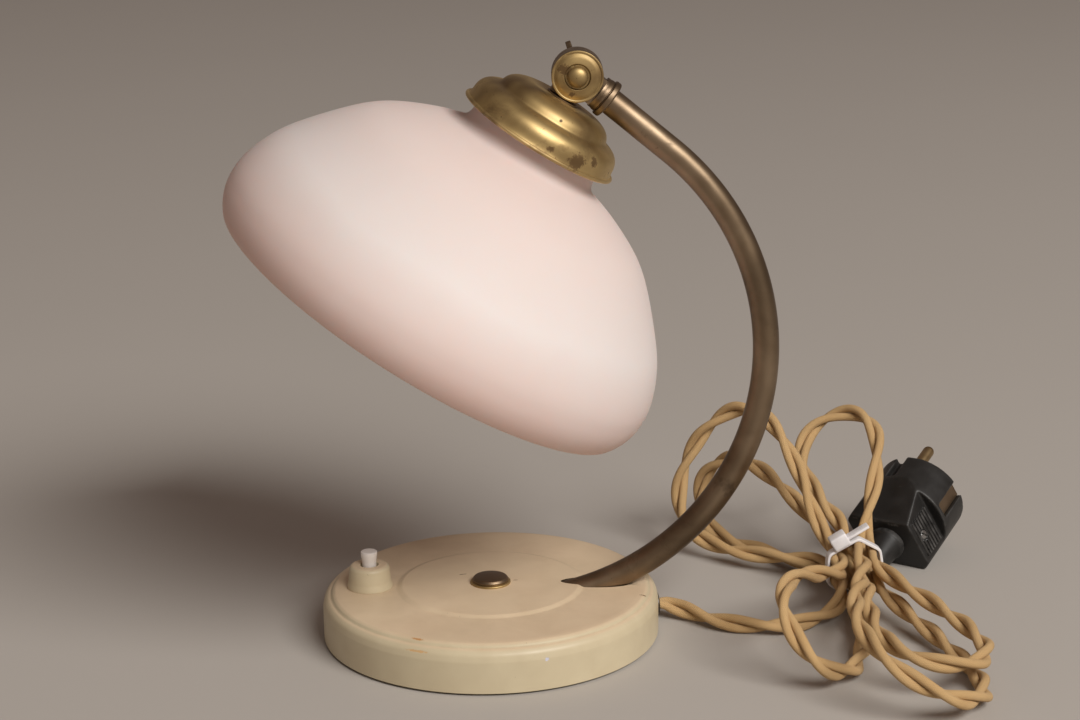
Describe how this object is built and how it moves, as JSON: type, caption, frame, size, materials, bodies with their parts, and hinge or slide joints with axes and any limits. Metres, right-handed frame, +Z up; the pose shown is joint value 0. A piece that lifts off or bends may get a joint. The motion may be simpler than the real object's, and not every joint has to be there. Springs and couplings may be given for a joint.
{
  "type": "tilting bedside lamp",
  "caption": "Bedside lamp with a weighted round base, a curved tube arm, a tilting opal glass shade on a friction joint, a push switch and a tied mains cord with plug.",
  "frame": {"origin": "middle of the base's underside, on the table", "axes": "+Z up out of the base, +X from the base's middle towards the arm's foot, +Y away from the picture's camera"},
  "size_m": [0.2929, 0.2128, 0.2278],
  "materials": {
    "cream_enamel": "cream enamel, semi-gloss, worn",
    "cast_iron": "raw casting",
    "steel": "zinc plated",
    "felt": "felt",
    "brass": "aged, spotted",
    "dark_brass": "antique patina",
    "bakelite": "moulded, dark",
    "white_plastic": "satin",
    "opal_glass": "satin opal with a pale pink tint",
    "bulb_glass": "opal",
    "porcelain": "white glaze",
    "gasket": "soft",
    "fibre": "pressed fibre",
    "cord_cloth": "braided cloth, golden tan",
    "black_plastic": "satin black"
  },
  "bodies": {
    "base": {"base_shell": "cream_enamel", "ballast": "cast_iron", "bottom_plate": "steel", "felt_pad": "felt", "centre_bolt": "steel", "ballast_nut": "steel", "spacer_sleeve": "steel", "cap_washer": "brass", "cap_nut": "dark_brass", "switch_collar": "cream_enamel", "switch_body": "bakelite", "switch_spring": "steel", "switch_terminals": "brass", "arm_tube": "dark_brass", "arm_strap": "steel", "strap_screws": "steel", "terminal_block": "white_plastic", "cord_grommet": "bakelite", "cord_clamp": "steel", "cord_inner": "cord_cloth", "arm_wires": "cord_cloth", "arm_ferrule": "brass", "arm_knuckle": "brass", "friction_washer": "fibre", "dished_disc": "brass", "pivot_bolt": "brass", "spring_washer": "steel", "cord_lead": "cord_cloth", "cord_bundle": "cord_cloth", "cable_tie": "white_plastic", "plug_body": "black_plastic", "plug_strain_relief": "black_plastic", "plug_pins": "brass", "earth_contacts": "brass", "plug_screw": "steel"},
    "head": {"shade_knuckle": "brass", "gallery_cap": "brass", "gallery_nut": "brass", "lampholder_cap": "bakelite", "lampholder_skirt": "bakelite", "lampholder_insert": "porcelain", "screw_shell": "brass", "centre_contact": "brass", "upper_shade_ring": "bakelite", "shade_gasket": "gasket", "lower_shade_ring": "bakelite", "glass_shade": "opal_glass", "bulb_cap": "brass", "bulb_glass": "bulb_glass"},
    "button": {"switch_button": "white_plastic"},
    "wing": {"wing_nut": "brass"}
  },
  "joints": [
    {"name": "shade_tilt", "type": "hinge", "parent": "base", "child": "head", "pos_m": [0.03581, 0, 0.21753], "axis": [0, 1, 0], "range_deg": [-5, 75]},
    {"name": "switch_press", "type": "slide", "parent": "base", "child": "button", "axis": [0, 0, -1], "range_m": [0, 0.003], "stiffness_N_per_m": 400, "springref_m": -0.002, "deforming": ["switch_spring"]},
    {"name": "wing_nut_turn", "type": "hinge", "parent": "base", "child": "wing", "pos_m": [0.03581, 0, 0.21753], "axis": [0, 1, 0], "continuous": true}
  ]
}
